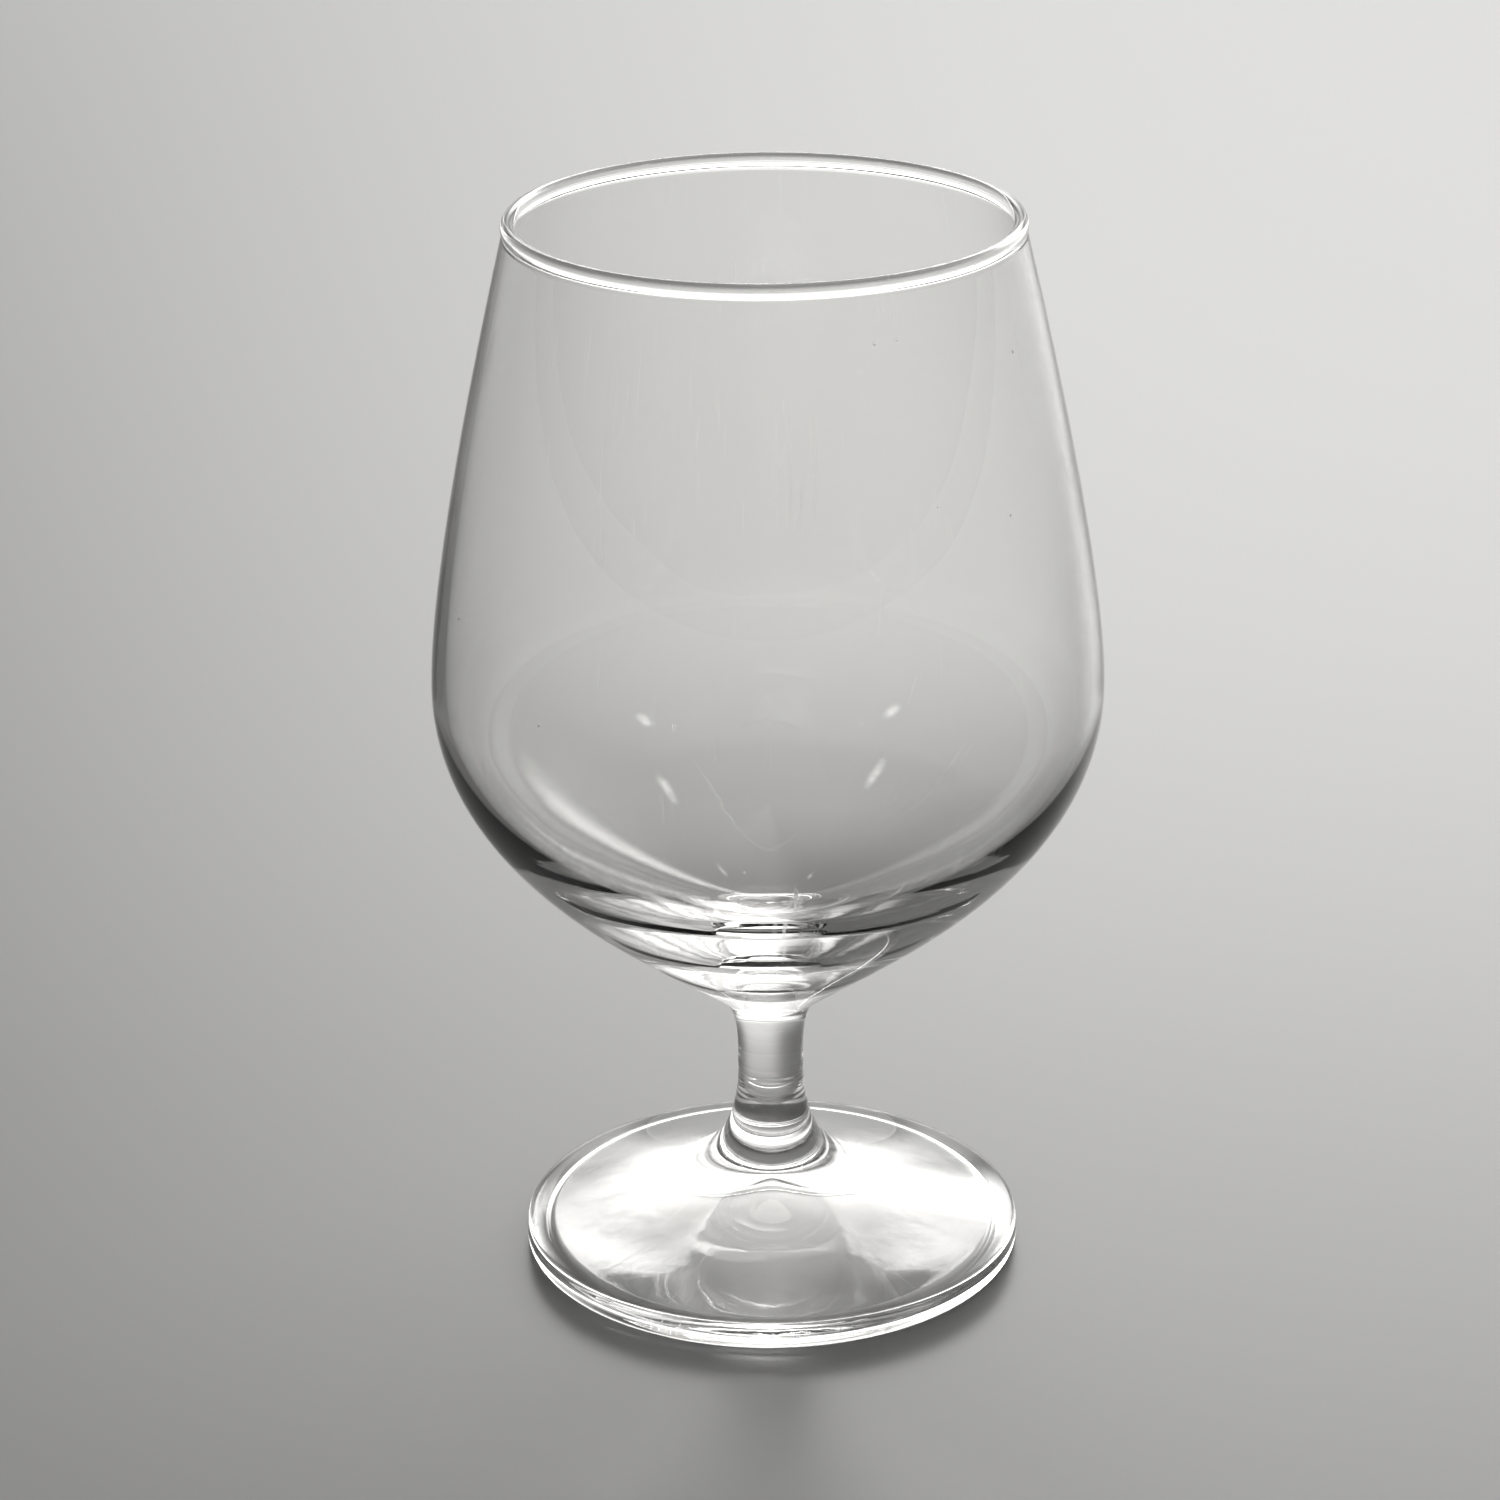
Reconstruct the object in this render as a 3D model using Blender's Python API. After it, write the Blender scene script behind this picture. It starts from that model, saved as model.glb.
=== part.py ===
"""A clear stemmed sake glass: a blown bowl, a drawn stem and a pressed foot, fused end to end.

Metres, +Z up. The origin is on the glass's axis, at the table it stands on.
"""

import math

import bpy
from mathutils import Vector
from mathutils.geometry import interpolate_bezier

TURN_STEPS = 48
AXIS_MERGE = 0.00001

# Foot: a hollow cone with a rounded edge, rising into the boss that the stem is fused to
FOOT_RADIUS = 0.0267
FOOT_EDGE_HEIGHT = 0.0032
FOOT_EDGE_ROUND = 0.0007
FOOT_BULGE_HEIGHT = 0.0013
FOOT_TOP_SLOPE = math.radians(14.3)
FOOT_UNDERCUT = 0.0011
RESTING_RING_WIDTH = 0.0014
RING_STEP_WIDTH = 0.0012
RING_STEP_HEIGHT = 0.0006
RING_STEP_SLOPE = math.radians(40.0)
HOLLOW_DEPTH = 0.0054
HOLLOW_SLOPE = math.radians(7.6)
BOSS_HEIGHT = 0.0174
FLARE_RADIUS = 0.0064
FLARE_HEIGHT = 0.01095
FLARE_SLOPE = math.radians(48.0)

# Stem: a waisted rod between the boss and the bowl
STEM_LENGTH = 0.0107
STEM_FOOT_RADIUS = 0.00368
STEM_FOOT_FLARE = math.radians(8.0)
STEM_WAIST_RADIUS = 0.00352
STEM_WAIST_HEIGHT = 0.0042
STEM_HEAD_FLARE = math.radians(32.0)

# Bowl: heights above its crease with the stem
BOWL_HEIGHT = 0.0863
CREASE_RADIUS = 0.0047
CREASE_SLOPE = math.radians(37.5)
BELLY_RADIUS = 0.0350
BELLY_HEIGHT = 0.0366
RIM_RADIUS = 0.0265
RIM_LEAN = math.radians(12.3)
BEAD_RADIUS = 0.00078
BEAD_OVERHANG = 0.00020
RIM_WALL = 0.00070
BELLY_WALL = 0.00135
CREASE_WALL = 0.00570
BASE_THICKNESS = 0.0069
HEEL_RADIUS = 0.0252

# How far each end of a curve runs on along its tangent, as a share of the curve's chord
ROUND_PULL = 0.5
SOFT_PULL = 0.35
CREASE_PULL = 0.33
BELLY_LOWER_PULL = 0.36
BELLY_UPPER_PULL = 0.27
RIM_PULL = 0.034
FLOOR_PULL = 0.28
HEEL_PULL = 0.17
FOOT_FLARE_PULL = 0.19
FOOT_EDGE_PULL = 0.24
HOLLOW_PULL = 0.52
HOLLOW_TOP_PULL = 0.09

GLASS_TINT = (0.93, 0.97, 0.96, 1.0)
GLASS_ROUGHNESS = 0.02
GLASS_IOR = 1.52


def point(radius, height):
    return Vector((radius, 0.0, height))


def heading(angle):
    """The direction at this angle above the outward horizontal."""
    return Vector((math.cos(angle), 0.0, math.sin(angle)))


UP = heading(math.radians(90.0))
DOWN = -UP
OUT = heading(0.0)
IN = -OUT


def curve(start, start_way, end, end_way, start_pull, end_pull, steps):
    """A curve that leaves start along start_way and arrives at end along end_way."""
    chord = (end - start).length
    leave = start + start_way * start_pull * chord
    arrive = end - end_way * end_pull * chord
    return interpolate_bezier(start, leave, arrive, end, steps + 1)


def arc(centre, radius, first, last, steps):
    turn = (last - first) / steps
    return [centre + radius * heading(first + turn * i) for i in range(steps + 1)]


def joined(*stretches):
    """One outline of several stretches, without the points where one repeats the last."""
    outline = list(stretches[0])
    for stretch in stretches[1:]:
        outline += stretch[1:]
    return outline


def offset(outline, wall_at):
    """The outline moved towards the axis by the wall's thickness at each point."""
    moved = []
    for i in range(1, len(outline) - 1):
        along = (outline[i + 1] - outline[i - 1]).normalized()
        inward = Vector((along.z, 0.0, -along.x))
        moved.append(outline[i] + inward * wall_at(outline[i].z))
    return moved


def clear_scene():
    for item in list(bpy.data.objects):
        bpy.data.objects.remove(item)


def glass(name):
    material = bpy.data.materials.new(name)
    material.use_nodes = True
    shader = material.node_tree.nodes["Principled BSDF"]
    shader.inputs["Base Color"].default_value = GLASS_TINT
    shader.inputs["Roughness"].default_value = GLASS_ROUGHNESS
    shader.inputs["Metallic"].default_value = 0.0
    shader.inputs["IOR"].default_value = GLASS_IOR
    shader.inputs["Transmission Weight"].default_value = 1.0
    return material


def turned(name, outline, height):
    """A solid of revolution whose outline runs from the axis, down the outer side, back to the axis."""
    mesh = bpy.data.meshes.new(name)
    edges = [(i, i + 1) for i in range(len(outline) - 1)]
    mesh.from_pydata(outline, edges, [])
    mesh.materials.append(glass(name + "_glass"))
    piece = bpy.data.objects.new(name, mesh)
    bpy.context.collection.objects.link(piece)
    piece.location.z = height
    screw = piece.modifiers.new("turn", "SCREW")
    screw.axis = "Z"
    screw.steps = TURN_STEPS
    screw.render_steps = TURN_STEPS
    screw.use_merge_vertices = True
    screw.merge_threshold = AXIS_MERGE
    screw.use_smooth_shade = True
    return piece


def foot_outline():
    boss = point(STEM_FOOT_RADIUS, BOSS_HEIGHT)
    flare = point(FLARE_RADIUS, FLARE_HEIGHT)
    edge = point(FOOT_RADIUS - FOOT_EDGE_ROUND, FOOT_EDGE_HEIGHT)
    bulge = point(FOOT_RADIUS, FOOT_BULGE_HEIGHT)
    ring = point(FOOT_RADIUS - FOOT_UNDERCUT, 0.0)
    ring_inside = ring + IN * RESTING_RING_WIDTH
    step = ring_inside + IN * RING_STEP_WIDTH + UP * RING_STEP_HEIGHT
    hollow = point(0.0, HOLLOW_DEPTH)
    boss_way = heading(STEM_FOOT_FLARE - math.radians(90.0))
    flare_way = heading(-FLARE_SLOPE)
    edge_way = heading(-FOOT_TOP_SLOPE)
    step_way = heading(math.radians(180.0) - RING_STEP_SLOPE)
    hollow_way = heading(math.radians(180.0) - HOLLOW_SLOPE)
    return joined(
        [point(0.0, BOSS_HEIGHT), boss],
        curve(boss, boss_way, flare, flare_way, SOFT_PULL, SOFT_PULL, 7),
        curve(flare, flare_way, edge, edge_way, FOOT_FLARE_PULL, FOOT_EDGE_PULL, 8),
        curve(edge, edge_way, bulge, DOWN, SOFT_PULL, ROUND_PULL, 4),
        curve(bulge, DOWN, ring, IN, ROUND_PULL, ROUND_PULL, 4),
        [ring, ring_inside],
        curve(ring_inside, step_way, step, hollow_way, SOFT_PULL, SOFT_PULL, 3),
        curve(step, hollow_way, hollow, IN, HOLLOW_PULL, HOLLOW_TOP_PULL, 8),
    )


def stem_outline():
    head = point(CREASE_RADIUS, STEM_LENGTH)
    waist = point(STEM_WAIST_RADIUS, STEM_WAIST_HEIGHT)
    foot_end = point(STEM_FOOT_RADIUS, 0.0)
    head_way = heading(-STEM_HEAD_FLARE - math.radians(90.0))
    foot_way = heading(STEM_FOOT_FLARE - math.radians(90.0))
    return joined(
        [point(0.0, STEM_LENGTH), head],
        curve(head, head_way, waist, DOWN, SOFT_PULL, SOFT_PULL, 7),
        curve(waist, DOWN, foot_end, foot_way, SOFT_PULL, SOFT_PULL, 4),
        [foot_end, point(0.0, 0.0)],
    )


def wall_at(height):
    """Wall thickness: thick low on the bowl, thinning fast to the belly and slowly to the rim."""
    if height < BELLY_HEIGHT:
        share = 1.0 - height / BELLY_HEIGHT
        return BELLY_WALL + (CREASE_WALL - BELLY_WALL) * share * share
    share = (height - BELLY_HEIGHT) / (BOWL_HEIGHT - BELLY_HEIGHT)
    return BELLY_WALL + (RIM_WALL - BELLY_WALL) * share


def bowl_outline():
    bead = point(RIM_RADIUS - BEAD_RADIUS, BOWL_HEIGHT - BEAD_RADIUS)
    outer_reach = BEAD_RADIUS - BEAD_OVERHANG
    outer_meet = -math.acos(outer_reach / BEAD_RADIUS)
    inner_meet = math.radians(360.0) - math.acos((outer_reach - RIM_WALL) / BEAD_RADIUS)
    rim = bead + heading(outer_meet) * BEAD_RADIUS
    belly = point(BELLY_RADIUS, BELLY_HEIGHT)
    crease = point(CREASE_RADIUS, 0.0)
    rim_way = heading(-math.radians(90.0) + RIM_LEAN)
    crease_way = heading(CREASE_SLOPE + math.radians(180.0))
    outside = joined(
        curve(rim, rim_way, belly, DOWN, RIM_PULL, BELLY_UPPER_PULL, 9),
        curve(belly, DOWN, crease, crease_way, BELLY_LOWER_PULL, CREASE_PULL, 12),
    )
    inside = [at for at in reversed(offset(outside, wall_at)) if at.x > HEEL_RADIUS]
    floor = point(0.0, BASE_THICKNESS)
    heel_way = (inside[1] - inside[0]).normalized()
    return joined(
        curve(floor, OUT, inside[0], heel_way, FLOOR_PULL, HEEL_PULL, 7),
        inside + arc(bead, BEAD_RADIUS, inner_meet, outer_meet, 12),
        outside,
        [crease, point(0.0, 0.0)],
    )


def main():
    clear_scene()
    stem_base = BOSS_HEIGHT
    bowl_base = stem_base + STEM_LENGTH
    turned("foot", foot_outline(), 0.0)
    turned("stem", stem_outline(), stem_base)
    turned("bowl", bowl_outline(), bowl_base)


main()
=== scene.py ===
import math

import bmesh
import bpy
from mathutils import Matrix, Vector
from mathutils.geometry import interpolate_bezier


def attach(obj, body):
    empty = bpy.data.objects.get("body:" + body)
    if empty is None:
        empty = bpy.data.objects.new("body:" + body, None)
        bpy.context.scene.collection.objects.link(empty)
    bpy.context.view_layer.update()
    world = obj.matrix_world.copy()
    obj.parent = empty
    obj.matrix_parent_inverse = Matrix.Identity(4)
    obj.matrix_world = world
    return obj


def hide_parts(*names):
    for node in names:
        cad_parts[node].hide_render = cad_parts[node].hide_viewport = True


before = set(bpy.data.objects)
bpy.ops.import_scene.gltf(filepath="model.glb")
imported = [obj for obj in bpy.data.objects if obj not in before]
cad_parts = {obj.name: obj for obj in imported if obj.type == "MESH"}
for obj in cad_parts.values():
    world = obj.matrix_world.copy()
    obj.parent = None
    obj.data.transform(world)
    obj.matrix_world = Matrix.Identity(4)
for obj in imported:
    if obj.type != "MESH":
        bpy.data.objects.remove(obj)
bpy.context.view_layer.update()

# Sizes of the solids, in metres: foot, stem and bowl, each above its own lower end
FOOT_RADIUS = 0.0267
FOOT_EDGE_HEIGHT = 0.0032
FOOT_EDGE_ROUND = 0.0007
FOOT_BULGE_HEIGHT = 0.0013
FOOT_TOP_SLOPE = math.radians(14.3)
FOOT_UNDERCUT = 0.0011
RESTING_RING_WIDTH = 0.0014
RING_STEP_WIDTH = 0.0012
RING_STEP_HEIGHT = 0.0006
RING_STEP_SLOPE = math.radians(40.0)
HOLLOW_DEPTH = 0.0054
HOLLOW_SLOPE = math.radians(7.6)
BOSS_HEIGHT = 0.0174
FLARE_RADIUS = 0.0064
FLARE_HEIGHT = 0.01095
FLARE_SLOPE = math.radians(48.0)

STEM_LENGTH = 0.0107
STEM_FOOT_RADIUS = 0.00368
STEM_FOOT_FLARE = math.radians(8.0)
STEM_WAIST_RADIUS = 0.00352
STEM_WAIST_HEIGHT = 0.0042
STEM_HEAD_FLARE = math.radians(32.0)

BOWL_HEIGHT = 0.0863
CREASE_RADIUS = 0.0047
CREASE_SLOPE = math.radians(37.5)
BELLY_RADIUS = 0.0350
BELLY_HEIGHT = 0.0366
RIM_RADIUS = 0.0265
RIM_LEAN = math.radians(12.3)
BEAD_RADIUS = 0.00078
BEAD_OVERHANG = 0.00020
RIM_WALL = 0.00070
BELLY_WALL = 0.00135
CREASE_WALL = 0.00570
BASE_THICKNESS = 0.0069
HEEL_RADIUS = 0.0252

# How far each end of a curve runs on along its tangent, as a share of the curve's chord
ROUND_PULL = 0.5
SOFT_PULL = 0.35
CREASE_PULL = 0.33
BELLY_LOWER_PULL = 0.36
BELLY_UPPER_PULL = 0.27
RIM_PULL = 0.034
FLOOR_PULL = 0.28
HEEL_PULL = 0.17
FOOT_FLARE_PULL = 0.19
FOOT_EDGE_PULL = 0.24
HOLLOW_PULL = 0.52
HOLLOW_TOP_PULL = 0.09

# Fineness of the turned surfaces, and the height within which a ring of faces counts as flat
TURN_STEPS = 192
FINE = 6
FLAT_WITHIN = 1e-9

# The photograph's camera, in pixels, metres and radians
PHOTO_PIXELS = 1500
FOCAL_PIXELS = 4392.087
SENSOR_MM = 36.0
CAMERA_BACK = 0.428190593
CAMERA_HEIGHT = 0.226731309
CAMERA_PITCH = 0.377908
CAMERA_ROLL = 0.00941408
CAMERA_YAW = 0.00450044

# Details that the solids leave out: the air under the resting ring, and the drop shape of the rim, which
# leaves the round bead at this angle under level and meets the wall this far under the bead's middle
RING_GAP = 0.00003
BEAD_TAPER = math.radians(40.0)
BEAD_DROP = 0.0010

# Rings round the stem, which the solids leave out too: height above its lower end, swell and width
STEM_RINGS = (
    (0.0003, 0.00003, 0.00025),
    (0.0036, 0.000012, 0.00014),
    (0.0071, 0.000008, 0.00012),
)

# Glass: the waves, rings and grain are each a noise scale per metre and a height in metres. The mould's
# rings fade out between two heights above the table. Where the normal's upward share is under its limit,
# the foot's surface counts as its underside
GLASS_IOR = 1.52
GLASS_TINT = (1.0, 0.998, 0.994, 1.0)
GLASS_POLISH = 0.004
BLOWN_WAVES = (38.0, 0.00006)
MOULD_RINGS = (480.0, 0.00002)
MOULD_RING_STRETCH = (0.06, 0.06, 1.0)
MOULD_RING_HEIGHTS = (0.042, 0.058)
DRAWN_WAVES = (90.0, 0.000004)
PRESSED_WAVES = (150.0, 0.00003)
PRESSED_GRAIN = (900.0, 0.0000035)
UNDERSIDE_NORMAL = -0.3

# Wear: each run of upright hairlines has a turn of its noise, a squeeze across the lines, a noise scale and
# the turn of the noise that its patches come from. The edges are where a line, a patch or a speck begins
SCRATCH_ROUGHNESS = 0.22
SCRATCH_RUNS = (
    (0.06, 40.0, 38.0, 1.24),
    (-0.35, 34.0, 66.0, -0.4),
    (1.15, 30.0, 74.0, 5.6),
    (-1.3, 36.0, 90.0, -4.2),
)
SCRATCH_EDGE = (0.72, 0.765)
PATCH_SCALE = 48.0
PATCH_EDGE = (0.54, 0.68)
DUST_ROUGHNESS = 0.6
DUST_SCALE = 420.0
DUST_EDGE = (0.05, 0.075)
DUST_SHARE = 0.025

# Soft lights: azimuth to the right of the view and elevation, spread and softness in degrees, radiance
WINDOW = ((16.3, 22.5), (49.0, 12.0), (14.0, 5.0), 6.4)
SCREEN = ((20.0, 53.0), (80.0, 63.0), (20.0, 16.0), 1.45)
STRIP = ((10.0, 6.5), (90.0, 11.0), (22.0, 4.0), 1.35)
FILL = ((180.0, 30.0), (130.0, 70.0), (40.0, 25.0), 0.5)
RIGHT_LAMP = ((106.0, 50.0), (4.0, 4.0), (2.0, 2.0), 9.0)
LEFT_LAMP = ((-109.0, 48.0), (4.0, 4.0), (2.0, 2.0), 9.0)
WARM_WHITE = (1.0, 0.993, 0.975, 1.0)
ROOM_LIGHT = 0.11

# Table: a satin grey sheet, paler outside the stretch that the photograph shows, which widens with distance
TABLE_SIZE = 12.0
TABLE_BASE = 0.23
TABLE_ROUGHNESS = 0.31
TABLE_IOR = 1.44
SHEEN_HALF_WIDTH = 0.084
SHEEN_WIDENING = 0.16
SHEEN_NEAR = -0.06
SHEEN_FAR = 0.66
PALE_BLEND = 0.4
PALE_LEVEL = 0.25

# How often light may bounce, in all and through glass, and off gloss
GLASS_BOUNCES = 24
GLOSS_BOUNCES = 16


def point(radius, height):
    return Vector((radius, 0.0, height))


def heading(angle):
    """The direction at this angle above the outward horizontal."""
    return Vector((math.cos(angle), 0.0, math.sin(angle)))


UP = heading(math.radians(90.0))
DOWN = -UP
OUT = heading(0.0)
IN = -OUT


def curve(start, start_way, end, end_way, start_pull, end_pull, steps):
    """A curve that leaves start along start_way and arrives at end along end_way."""
    chord = (end - start).length
    leave = start + start_way * start_pull * chord
    arrive = end - end_way * end_pull * chord
    return interpolate_bezier(start, leave, arrive, end, steps * FINE + 1)


def arc(centre, radius, first, last, steps):
    turn = (last - first) / (steps * FINE)
    return [centre + radius * heading(first + turn * i) for i in range(steps * FINE + 1)]


def joined(*stretches):
    """One outline of several stretches, without the points where one repeats the last."""
    outline = list(stretches[0])
    for stretch in stretches[1:]:
        outline += stretch[1:]
    return outline


def offset(outline, wall_at):
    """The outline moved towards the axis by the wall's thickness at each point."""
    moved = []
    for i in range(1, len(outline) - 1):
        along = (outline[i + 1] - outline[i - 1]).normalized()
        inward = Vector((along.z, 0.0, -along.x))
        moved.append(outline[i] + inward * wall_at(outline[i].z))
    return moved


def foot_outline():
    boss = point(STEM_FOOT_RADIUS, BOSS_HEIGHT)
    flare = point(FLARE_RADIUS, FLARE_HEIGHT)
    edge = point(FOOT_RADIUS - FOOT_EDGE_ROUND, FOOT_EDGE_HEIGHT)
    bulge = point(FOOT_RADIUS, FOOT_BULGE_HEIGHT)
    ring = point(FOOT_RADIUS - FOOT_UNDERCUT, RING_GAP)
    ring_inside = ring + IN * RESTING_RING_WIDTH
    hollow = point(0.0, HOLLOW_DEPTH)
    boss_way = heading(STEM_FOOT_FLARE - math.radians(90.0))
    flare_way = heading(-FLARE_SLOPE)
    edge_way = heading(-FOOT_TOP_SLOPE)
    step = ring_inside + IN * RING_STEP_WIDTH + UP * RING_STEP_HEIGHT
    step_way = heading(math.radians(180.0) - RING_STEP_SLOPE)
    hollow_way = heading(math.radians(180.0) - HOLLOW_SLOPE)
    return joined(
        [point(0.0, BOSS_HEIGHT), boss],
        curve(boss, boss_way, flare, flare_way, SOFT_PULL, SOFT_PULL, 7),
        curve(flare, flare_way, edge, edge_way, FOOT_FLARE_PULL, FOOT_EDGE_PULL, 8),
        curve(edge, edge_way, bulge, DOWN, SOFT_PULL, ROUND_PULL, 4),
        curve(bulge, DOWN, ring, IN, ROUND_PULL, ROUND_PULL, 4),
        [ring, ring_inside],
        curve(ring_inside, step_way, step, hollow_way, SOFT_PULL, SOFT_PULL, 3),
        curve(step, hollow_way, hollow, IN, HOLLOW_PULL, HOLLOW_TOP_PULL, 8),
    )


def ringed(outline):
    """The outline with the rings that stand round the stem."""
    swollen = []
    for at in outline:
        swell = 0.0
        for height, size, width in STEM_RINGS:
            swell += size * math.exp(-(((at.z - height) / width) ** 2))
        swollen.append(at + OUT * swell)
    return swollen


def stem_outline():
    head = point(CREASE_RADIUS, STEM_LENGTH)
    waist = point(STEM_WAIST_RADIUS, STEM_WAIST_HEIGHT)
    foot_end = point(STEM_FOOT_RADIUS, 0.0)
    head_way = heading(-STEM_HEAD_FLARE - math.radians(90.0))
    foot_way = heading(STEM_FOOT_FLARE - math.radians(90.0))
    return joined(
        [point(0.0, STEM_LENGTH), head],
        ringed(curve(head, head_way, waist, DOWN, SOFT_PULL, SOFT_PULL, 14)),
        ringed(curve(waist, DOWN, foot_end, foot_way, SOFT_PULL, SOFT_PULL, 10)),
        [foot_end, point(0.0, 0.0)],
    )


def wall_at(height):
    """Wall thickness: thick low on the bowl, thinning fast to the belly and slowly to the rim."""
    if height < BELLY_HEIGHT:
        share = 1.0 - height / BELLY_HEIGHT
        return BELLY_WALL + (CREASE_WALL - BELLY_WALL) * share * share
    share = (height - BELLY_HEIGHT) / (BOWL_HEIGHT - BELLY_HEIGHT)
    return BELLY_WALL + (RIM_WALL - BELLY_WALL) * share


def rolled_rim(bead, inside, outside):
    """The round bead of the rim, which tapers into the wall on both sides like a drop."""
    inner_end = math.radians(180.0) + BEAD_TAPER
    round_top = arc(bead, BEAD_RADIUS, inner_end, -BEAD_TAPER, 4)
    inner_way = (inside[-1] - inside[-2]).normalized()
    outer_way = (outside[1] - outside[0]).normalized()
    bead_in = heading(inner_end - math.radians(90.0))
    bead_out = heading(-BEAD_TAPER - math.radians(90.0))
    return joined(
        curve(inside[-1], inner_way, round_top[0], bead_in, SOFT_PULL, SOFT_PULL, 3),
        round_top,
        curve(round_top[-1], bead_out, outside[0], outer_way, SOFT_PULL, SOFT_PULL, 3),
    )


def bowl_outline():
    bead = point(RIM_RADIUS - BEAD_RADIUS, BOWL_HEIGHT - BEAD_RADIUS)
    outer_meet = -math.acos(1.0 - BEAD_OVERHANG / BEAD_RADIUS)
    rim = bead + heading(outer_meet) * BEAD_RADIUS
    belly = point(BELLY_RADIUS, BELLY_HEIGHT)
    crease = point(CREASE_RADIUS, 0.0)
    rim_way = heading(-math.radians(90.0) + RIM_LEAN)
    crease_way = heading(CREASE_SLOPE + math.radians(180.0))
    outside = joined(
        curve(rim, rim_way, belly, DOWN, RIM_PULL, BELLY_UPPER_PULL, 9),
        curve(belly, DOWN, crease, crease_way, BELLY_LOWER_PULL, CREASE_PULL, 12),
    )
    inside = [at for at in reversed(offset(outside, wall_at)) if at.x > HEEL_RADIUS]
    wall_top = bead.z - BEAD_DROP
    inside = [at for at in inside if at.z < wall_top]
    outside = [at for at in outside if at.z < wall_top]
    floor = point(0.0, BASE_THICKNESS)
    heel_way = (inside[1] - inside[0]).normalized()
    return joined(
        curve(floor, OUT, inside[0], heel_way, FLOOR_PULL, HEEL_PULL, 7),
        inside,
        rolled_rim(bead, inside, outside),
        outside,
        [crease, point(0.0, 0.0)],
    )


def rings_of(mesh, outline, height):
    """The outline's points turned round the axis, one list of vertices for each point.

    A point on the axis is one vertex. The foot's hollow ends 9 nm off it, which leaves a pinhole.
    """
    rings = []
    for at in outline:
        if at.x == 0.0:
            rings.append([mesh.verts.new((0.0, 0.0, at.z + height))])
            continue
        ring = []
        for i in range(TURN_STEPS):
            angle = math.tau * i / TURN_STEPS
            ring.append(mesh.verts.new((at.x * math.cos(angle), at.x * math.sin(angle), at.z + height)))
        rings.append(ring)
    return rings


def skin(mesh, upper, lower):
    """The faces between two neighbouring rings, of which one may be a single point."""
    faces = []
    for i in range(TURN_STEPS):
        j = (i + 1) % TURN_STEPS
        if len(upper) == 1:
            corners = (upper[0], lower[i], lower[j])
        elif len(lower) == 1:
            corners = (upper[i], lower[0], upper[j])
        else:
            corners = (upper[i], lower[i], lower[j], upper[j])
        faces.append(mesh.faces.new(corners))
    return faces


def is_weld(faces):
    """True for a disc that reaches the axis and is flat, as where two pieces are fused.

    The bowl's lower disc ends 10 nm off level, so it counts as no weld and keeps the bowl's glass.
    """
    first = faces[0]
    heights = [corner.co.z for corner in first.verts]
    return len(first.verts) == 3 and max(heights) - min(heights) < FLAT_WITHIN


def turned(name, solid, outline, height, glass, weld):
    """A piece of glass turned from its outline, which stands for one solid of the frame."""
    mesh = bmesh.new()
    rings = rings_of(mesh, outline, height)
    for upper, lower in zip(rings, rings[1:]):
        faces = skin(mesh, upper, lower)
        welded = is_weld(faces)
        for face in faces:
            face.smooth = True
            face.material_index = 1 if welded else 0
    for edge in mesh.edges:
        kinds = {face.material_index for face in edge.link_faces}
        edge.smooth = len(kinds) == 1
    data = bpy.data.meshes.new(name)
    mesh.to_mesh(data)
    mesh.free()
    data.materials.append(glass)
    data.materials.append(weld)
    piece = bpy.data.objects.new(name, data)
    bpy.context.collection.objects.link(piece)
    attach(piece, "root")
    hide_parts(solid)


def node(tree, kind, **properties):
    made = tree.nodes.new("ShaderNode" + kind)
    for name, value in properties.items():
        setattr(made, name, value)
    return made


def math_node(tree, operation, first, second=0.0):
    """The result of one sum, whose terms are sockets or numbers."""
    made = node(tree, "Math", operation=operation)
    for socket, term in zip(made.inputs, (first, second)):
        if isinstance(term, float):
            socket.default_value = term
        else:
            tree.links.new(term, socket)
    return made.outputs[0]


def ramp(tree, value, low, high, start=0.0, end=1.0):
    """A soft step from start to end as the value goes from low to high."""
    made = node(tree, "MapRange", interpolation_type="SMOOTHSTEP")
    for name, number in (("From Min", low), ("From Max", high), ("To Min", start), ("To Max", end)):
        made.inputs[name].default_value = number
    tree.links.new(value, made.inputs["Value"])
    return made.outputs["Result"]


def noise(tree, place, scale, detail=1.0, stretch=(1.0, 1.0, 1.0), turn=0.0):
    """Smooth noise over a place that is first scaled and then turned about its third axis."""
    mapping = node(tree, "Mapping")
    mapping.inputs["Scale"].default_value = stretch
    mapping.inputs["Rotation"].default_value = (0.0, 0.0, turn)
    made = node(tree, "TexNoise")
    made.inputs["Scale"].default_value = scale
    made.inputs["Detail"].default_value = detail
    tree.links.new(place, mapping.inputs["Vector"])
    tree.links.new(mapping.outputs["Vector"], made.inputs["Vector"])
    return made.outputs["Fac"]


def unrolled(tree, place, radius):
    """The place as distance round the axis, at this radius, and height."""
    parts = node(tree, "SeparateXYZ")
    tree.links.new(place, parts.inputs[0])
    angle = math_node(tree, "ARCTAN2", parts.outputs["X"], parts.outputs["Y"])
    flat = node(tree, "CombineXYZ")
    tree.links.new(math_node(tree, "MULTIPLY", angle, radius), flat.inputs["X"])
    tree.links.new(parts.outputs["Z"], flat.inputs["Y"])
    return flat.outputs[0]


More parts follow.
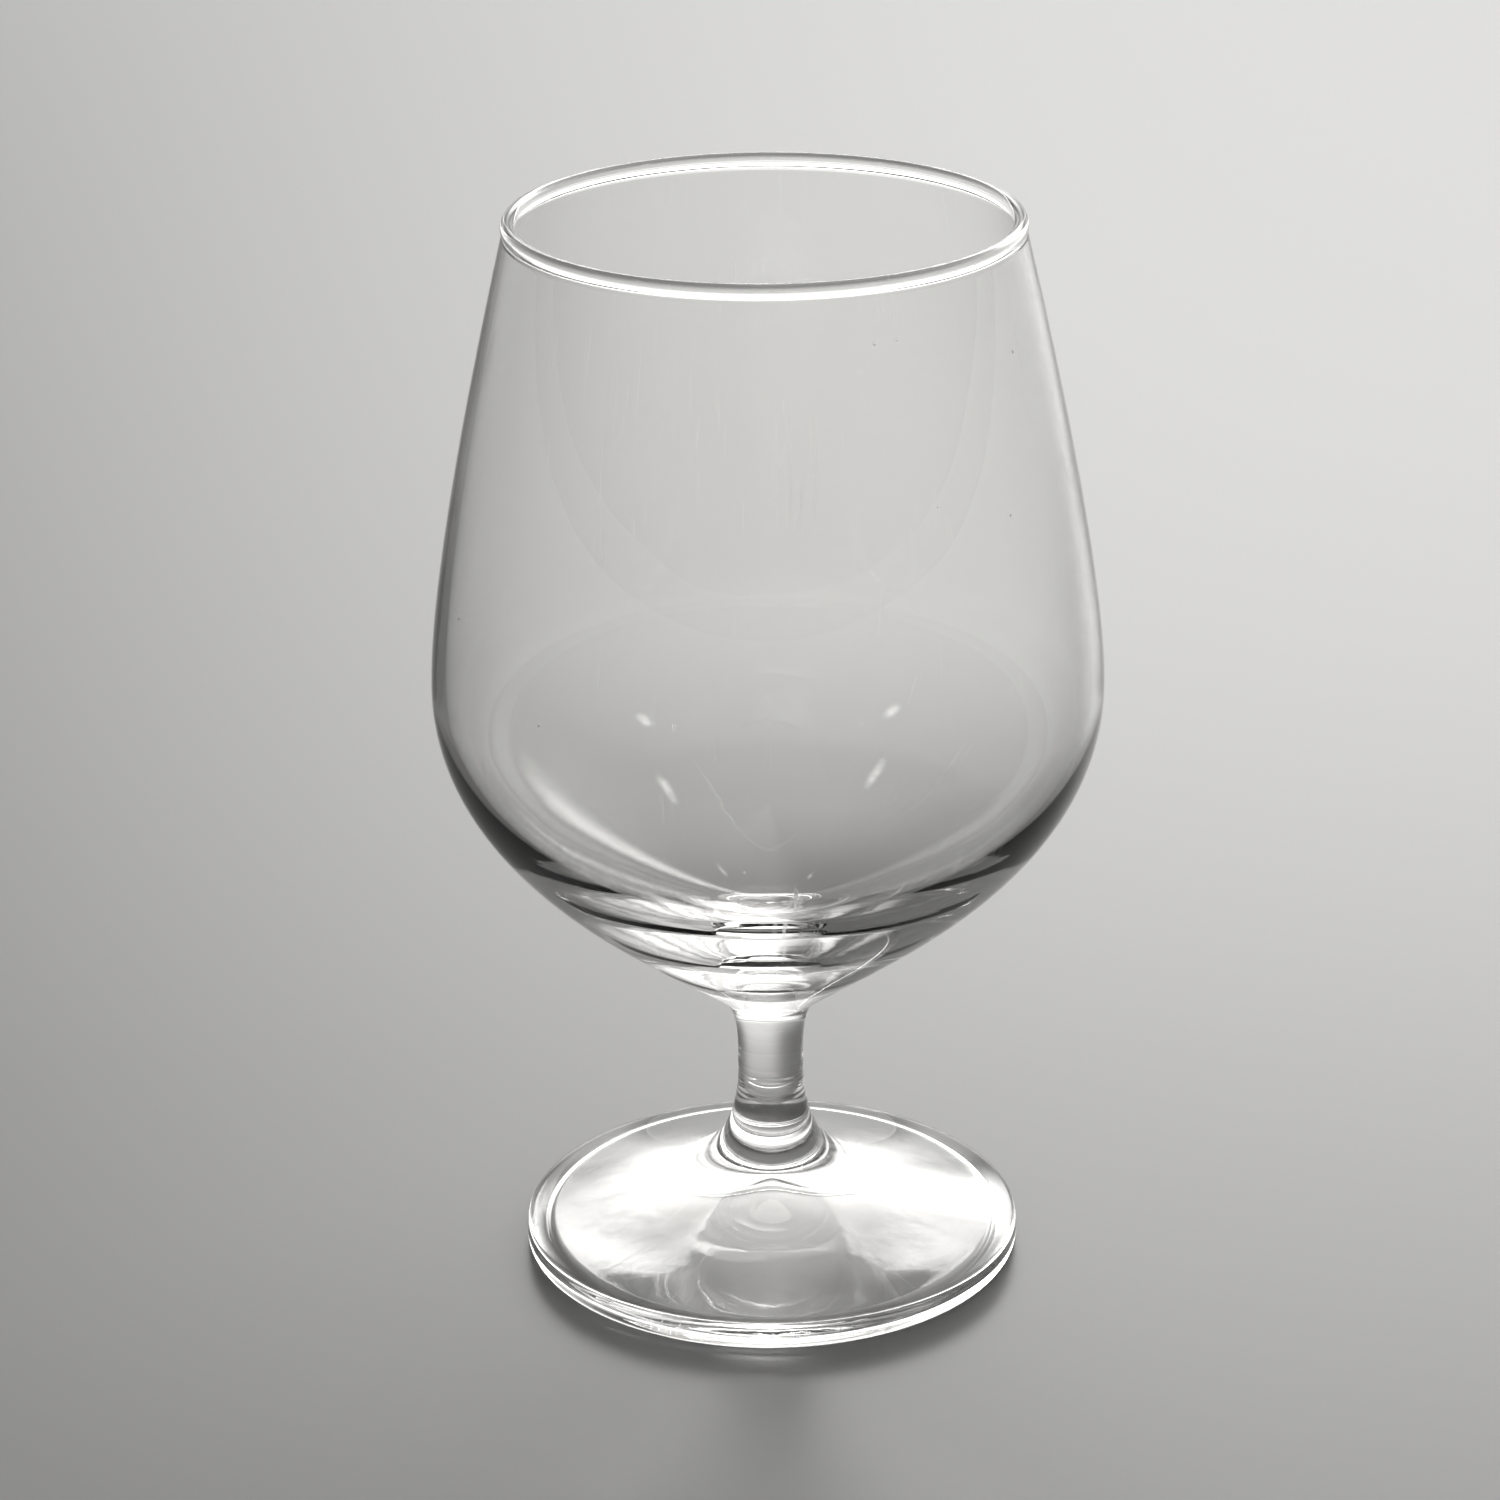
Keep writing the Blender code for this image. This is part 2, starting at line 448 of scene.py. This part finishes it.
def scratches(tree, flat):
    """Upright hairlines of wear, each run in a few patches of its own."""
    lines = 0.0
    for turn, squeeze, scale, patch_turn in SCRATCH_RUNS:
        streaks = noise(tree, flat, scale, detail=0.0, stretch=(squeeze, 1.0, 1.0), turn=turn)
        clouds = noise(tree, flat, PATCH_SCALE, detail=2.0, turn=patch_turn)
        hair = ramp(tree, streaks, *SCRATCH_EDGE)
        patch = ramp(tree, clouds, *PATCH_EDGE)
        lines = math_node(tree, "MAXIMUM", math_node(tree, "MULTIPLY", hair, patch), lines)
    return lines


def dust(tree, place):
    """Specks up to a third of a millimetre across, in a small share of the noise's cells."""
    cells = node(tree, "TexVoronoi")
    cells.inputs["Scale"].default_value = DUST_SCALE
    tree.links.new(place, cells.inputs["Vector"])
    speck = ramp(tree, cells.outputs["Distance"], *DUST_EDGE, 1.0, 0.0)
    tone = node(tree, "SeparateColor")
    tree.links.new(cells.outputs["Color"], tone.inputs[0])
    chosen = math_node(tree, "GREATER_THAN", tone.outputs["Red"], 1.0 - DUST_SHARE)
    return math_node(tree, "MULTIPLY", speck, chosen)


def raised(tree, height, distance, under=None):
    """A normal tilted by this height, over one that is tilted already."""
    bump = node(tree, "Bump")
    bump.inputs["Distance"].default_value = distance
    tree.links.new(height, bump.inputs["Height"])
    if under:
        tree.links.new(under, bump.inputs["Normal"])
    return bump.outputs["Normal"]


def clear_glass(name, waves, radius):
    """Clear glass with the slow waves of its making, hairline wear and a little dust."""
    material = bpy.data.materials.new(name)
    material.use_nodes = True
    tree = material.node_tree
    shader = tree.nodes["Principled BSDF"]
    shader.inputs["Base Color"].default_value = GLASS_TINT
    shader.inputs["IOR"].default_value = GLASS_IOR
    shader.inputs["Transmission Weight"].default_value = 1.0
    place = node(tree, "TexCoord").outputs["Object"]
    flat = unrolled(tree, place, radius)
    wear = math_node(tree, "MULTIPLY", scratches(tree, flat), SCRATCH_ROUGHNESS)
    specks = math_node(tree, "MULTIPLY", dust(tree, place), DUST_ROUGHNESS)
    marks = math_node(tree, "MAXIMUM", wear, specks)
    tree.links.new(math_node(tree, "ADD", marks, GLASS_POLISH), shader.inputs["Roughness"])
    tilt = raised(tree, noise(tree, place, waves[0]), waves[1])
    tree.links.new(tilt, shader.inputs["Normal"])
    return material, tilt


def blown_glass():
    """Blown glass, with the faint rings that turning it in the mould left low on the bowl."""
    material, tilt = clear_glass("blown_glass", BLOWN_WAVES, BELLY_RADIUS)
    tree = material.node_tree
    place = node(tree, "TexCoord").outputs["Object"]
    parts = node(tree, "SeparateXYZ")
    tree.links.new(place, parts.inputs[0])
    low = ramp(tree, parts.outputs["Z"], *MOULD_RING_HEIGHTS, 1.0, 0.0)
    rings = noise(tree, place, MOULD_RINGS[0], detail=2.0, stretch=MOULD_RING_STRETCH)
    tilt = raised(tree, math_node(tree, "MULTIPLY", rings, low), MOULD_RINGS[1], tilt)
    tree.links.new(tilt, tree.nodes["Principled BSDF"].inputs["Normal"])
    return material


def drawn_glass():
    return clear_glass("drawn_glass", DRAWN_WAVES, STEM_WAIST_RADIUS)[0]


def pressed_glass():
    """Pressed glass, with the mottled skin that the cool mould left under the foot."""
    material, tilt = clear_glass("pressed_glass", DRAWN_WAVES, FOOT_RADIUS)
    tree = material.node_tree
    shader = tree.nodes["Principled BSDF"]
    place = node(tree, "TexCoord").outputs["Object"]
    surface = node(tree, "NewGeometry").outputs
    facing = node(tree, "SeparateXYZ")
    tree.links.new(surface["Normal"], facing.inputs[0])
    outward = math_node(tree, "SUBTRACT", 1.0, math_node(tree, "MULTIPLY", surface["Backfacing"], 2.0))
    upward = math_node(tree, "MULTIPLY", facing.outputs["Z"], outward)
    below = math_node(tree, "LESS_THAN", upward, UNDERSIDE_NORMAL)
    mottle = math_node(tree, "MULTIPLY", noise(tree, place, PRESSED_WAVES[0], detail=2.0), below)
    grain = math_node(tree, "MULTIPLY", noise(tree, place, PRESSED_GRAIN[0], detail=3.0), below)
    tilt = raised(tree, mottle, PRESSED_WAVES[1], tilt)
    tilt = raised(tree, grain, PRESSED_GRAIN[1], tilt)
    tree.links.new(tilt, shader.inputs["Normal"])
    return material


def fused_face(name):
    """A face inside the fused glass, which light crosses as if it were not there."""
    material = bpy.data.materials.new(name)
    material.use_nodes = True
    nodes = material.node_tree.nodes
    nodes.remove(nodes["Principled BSDF"])
    through = nodes.new("ShaderNodeBsdfTransparent")
    material.node_tree.links.new(through.outputs[0], nodes["Material Output"].inputs["Surface"])
    return material


def seen_rays(tree):
    """1 for a ray that shows the surface: straight from the camera, or by glass or gloss."""
    path = node(tree, "LightPath").outputs
    sharp = math_node(tree, "MAXIMUM", path["Is Glossy Ray"], path["Is Transmission Ray"])
    return math_node(tree, "MAXIMUM", path["Is Camera Ray"], sharp)


def satin_table():
    """A grey satin sheet that grows paler outside the stretch that the photograph shows."""
    material = bpy.data.materials.new("satin_table")
    material.use_nodes = True
    tree = material.node_tree
    shader = tree.nodes["Principled BSDF"]
    shader.inputs["Base Color"].default_value = (TABLE_BASE, TABLE_BASE, TABLE_BASE, 1.0)
    shader.inputs["Roughness"].default_value = TABLE_ROUGHNESS
    shader.inputs["IOR"].default_value = TABLE_IOR
    place = node(tree, "SeparateXYZ")
    tree.links.new(node(tree, "NewGeometry").outputs["Position"], place.inputs[0])
    widening = math_node(tree, "MULTIPLY", place.outputs["Y"], SHEEN_WIDENING)
    aside = math_node(tree, "SUBTRACT", math_node(tree, "ABSOLUTE", place.outputs["X"]), widening)
    side = ramp(tree, aside, SHEEN_HALF_WIDTH, SHEEN_HALF_WIDTH + PALE_BLEND)
    near = ramp(tree, place.outputs["Y"], SHEEN_NEAR - PALE_BLEND, SHEEN_NEAR, 1.0, 0.0)
    far = ramp(tree, place.outputs["Y"], SHEEN_FAR, SHEEN_FAR + PALE_BLEND)
    around = math_node(tree, "MAXIMUM", math_node(tree, "MAXIMUM", near, far), side)
    pale = math_node(tree, "MULTIPLY", around, PALE_LEVEL)
    shader.inputs["Emission Color"].default_value = (1.0, 1.0, 1.0, 1.0)
    tree.links.new(math_node(tree, "MULTIPLY", pale, seen_rays(tree)), shader.inputs["Emission Strength"])
    return material


def add_table():
    mesh = bpy.data.meshes.new("table")
    half = TABLE_SIZE / 2
    corners = [(-half, -half, 0.0), (half, -half, 0.0), (half, half, 0.0), (-half, half, 0.0)]
    mesh.from_pydata(corners, [], [(0, 1, 2, 3)])
    mesh.materials.append(satin_table())
    table = bpy.data.objects.new("table", mesh)
    bpy.context.collection.objects.link(table)


def soft_span(tree, angle, middle, spread, soft):
    """1 within the spread about the middle, falling softly to 0 at its two ends."""
    off = math_node(tree, "PINGPONG", math_node(tree, "SUBTRACT", angle, math.radians(middle)), math.pi)
    return ramp(tree, off, math.radians(spread / 2 - soft), math.radians(spread / 2 + soft), 1.0, 0.0)


def soft_light(tree, azimuth, elevation, at, spread, soft, radiance):
    """The radiance of one soft rectangle of light, by direction."""
    across = soft_span(tree, azimuth, at[0], spread[0], soft[0])
    up = soft_span(tree, elevation, at[1], spread[1], soft[1])
    return math_node(tree, "MULTIPLY", math_node(tree, "MULTIPLY", across, up), radiance)


def add_world():
    """A dim room: window, screen and low strip behind the glass, fill behind the camera, two side lamps."""
    world = bpy.data.worlds.new("room")
    bpy.context.scene.world = world
    world.use_nodes = True
    tree = world.node_tree
    background = tree.nodes["Background"]
    background.inputs["Color"].default_value = WARM_WHITE
    way = node(tree, "SeparateXYZ")
    tree.links.new(node(tree, "TexCoord").outputs["Generated"], way.inputs[0])
    azimuth = math_node(tree, "ARCTAN2", way.outputs["X"], way.outputs["Y"])
    elevation = math_node(tree, "ARCSINE", way.outputs["Z"])
    light = ROOM_LIGHT
    for source in (WINDOW, SCREEN, STRIP, FILL, RIGHT_LAMP, LEFT_LAMP):
        light = math_node(tree, "ADD", soft_light(tree, azimuth, elevation, *source), light)
    tree.links.new(light, background.inputs["Strength"])


def add_camera():
    data = bpy.data.cameras.new("camera")
    data.sensor_width = SENSOR_MM
    data.lens = FOCAL_PIXELS / PHOTO_PIXELS * SENSOR_MM
    camera = bpy.data.objects.new("camera", data)
    bpy.context.collection.objects.link(camera)
    turn = Matrix.Rotation(CAMERA_YAW, 4, "Z")
    tip = Matrix.Rotation(math.radians(90.0) - CAMERA_PITCH, 4, "X")
    lean = Matrix.Rotation(-CAMERA_ROLL, 4, "Z")
    place = Matrix.Translation((0.0, -CAMERA_BACK, CAMERA_HEIGHT))
    camera.matrix_world = place @ turn @ tip @ lean
    bpy.context.scene.camera = camera


def set_view_and_bounces():
    scene = bpy.context.scene
    scene.view_settings.view_transform = "Standard"
    scene.cycles.max_bounces = GLASS_BOUNCES
    scene.cycles.transmission_bounces = GLASS_BOUNCES
    scene.cycles.glossy_bounces = GLOSS_BOUNCES


def main():
    weld = fused_face("fused_glass")
    stem_base = BOSS_HEIGHT
    bowl_base = stem_base + STEM_LENGTH
    turned("foot_glass", "foot", foot_outline(), 0.0, pressed_glass(), weld)
    turned("stem_glass", "stem", stem_outline(), stem_base, drawn_glass(), weld)
    turned("bowl_glass", "bowl", bowl_outline(), bowl_base, blown_glass(), weld)
    add_table()
    add_world()
    add_camera()
    set_view_and_bounces()


main()
